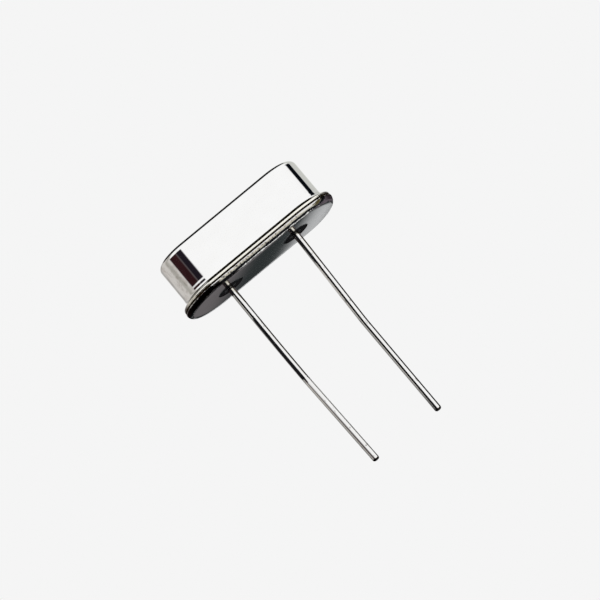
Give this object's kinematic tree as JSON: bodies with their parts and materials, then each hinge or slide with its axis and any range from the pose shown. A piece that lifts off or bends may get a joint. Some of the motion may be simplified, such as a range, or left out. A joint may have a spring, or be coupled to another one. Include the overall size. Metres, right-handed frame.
{
  "type": "quartz crystal unit",
  "caption": "Low oval metal-can quartz crystal unit: welded can on a glass-sealed base, round wire leads, and a quartz strip held in spring clips inside.",
  "frame": {"origin": "centre of the seating plane, the flat underside of the base, midway between the two leads", "axes": "+Z from the seating plane to the top of the can, so the leads run down -Z; X along the lead pitch and the can's length; Y across the can's narrow width"},
  "size_m": [0.011, 0.0046, 0.0169],
  "materials": {
    "can_metal": "bright drawn nickel silver, mirror-like with faint drawing marks",
    "base_metal": "bright nickel plate over stamped steel, a little hazy underneath",
    "seal_glass": "black fused sealing glass, glossy and opaque",
    "lead_metal": "bright plated wire with fine lengthwise drawing marks",
    "clip_metal": "satin nickel strip",
    "quartz": "lapped quartz, clear with a fine frost",
    "electrode_film": "vapour-deposited silver",
    "adhesive": "silver-filled epoxy, dull grey"
  },
  "bodies": {
    "root": {"can": "can_metal", "base": "base_metal", "glass_seal_left": "seal_glass", "glass_seal_right": "seal_glass", "lead_left": "lead_metal", "lead_right": "lead_metal", "spring_clip_left": "clip_metal", "spring_clip_right": "clip_metal", "quartz_blank": "quartz", "electrode_front": "electrode_film", "electrode_back": "electrode_film", "adhesive_left": "adhesive", "adhesive_right": "adhesive"}
  },
  "joints": []
}
